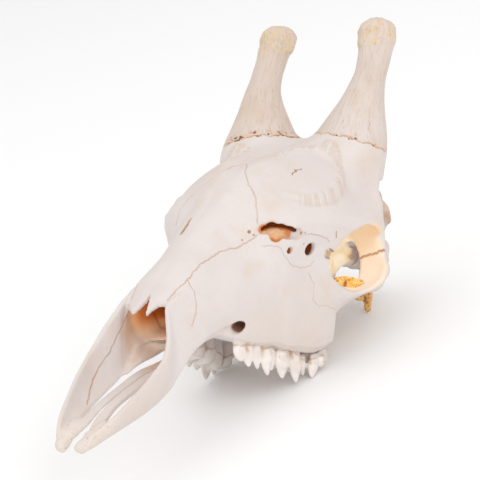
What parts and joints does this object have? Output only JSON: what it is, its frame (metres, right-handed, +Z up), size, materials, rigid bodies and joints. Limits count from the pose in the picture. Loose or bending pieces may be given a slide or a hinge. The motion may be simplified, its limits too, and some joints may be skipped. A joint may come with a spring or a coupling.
{
  "type": "giraffe skull",
  "caption": "Life-size giraffe skull without its lower jaw, with paired horn cores and upper cheek teeth, at rest on its teeth and the tips below the ears.",
  "frame": {"origin": "middle of the box around the skull, at floor level", "axes": "+X from the back of the skull to the muzzle, +Y to the skull's own left, +Z up"},
  "size_m": [0.5832, 0.2118, 0.2989],
  "materials": {
    "braincase": "matt bone",
    "frontal_left": "matt bone",
    "frontal_right": "matt bone",
    "ossicone_left": "matt bone",
    "ossicone_right": "matt bone",
    "squamosal_left": "matt bone",
    "squamosal_right": "matt bone",
    "lacrimal_left": "matt bone",
    "lacrimal_right": "matt bone",
    "zygomatic_left": "matt bone",
    "zygomatic_right": "matt bone",
    "nasal_left": "matt bone",
    "nasal_right": "matt bone",
    "maxilla_left": "matt bone",
    "maxilla_right": "matt bone",
    "premaxilla_left": "matt bone",
    "premaxilla_right": "matt bone"
  },
  "bodies": {
    "root": {"braincase": "braincase", "frontal_left": "frontal_left", "frontal_right": "frontal_right", "ossicone_left": "ossicone_left", "ossicone_right": "ossicone_right", "squamosal_left": "squamosal_left", "squamosal_right": "squamosal_right", "lacrimal_left": "lacrimal_left", "lacrimal_right": "lacrimal_right", "zygomatic_left": "zygomatic_left", "zygomatic_right": "zygomatic_right", "nasal_left": "nasal_left", "nasal_right": "nasal_right", "maxilla_left": "maxilla_left", "maxilla_right": "maxilla_right", "premaxilla_left": "premaxilla_left", "premaxilla_right": "premaxilla_right"}
  },
  "joints": []
}
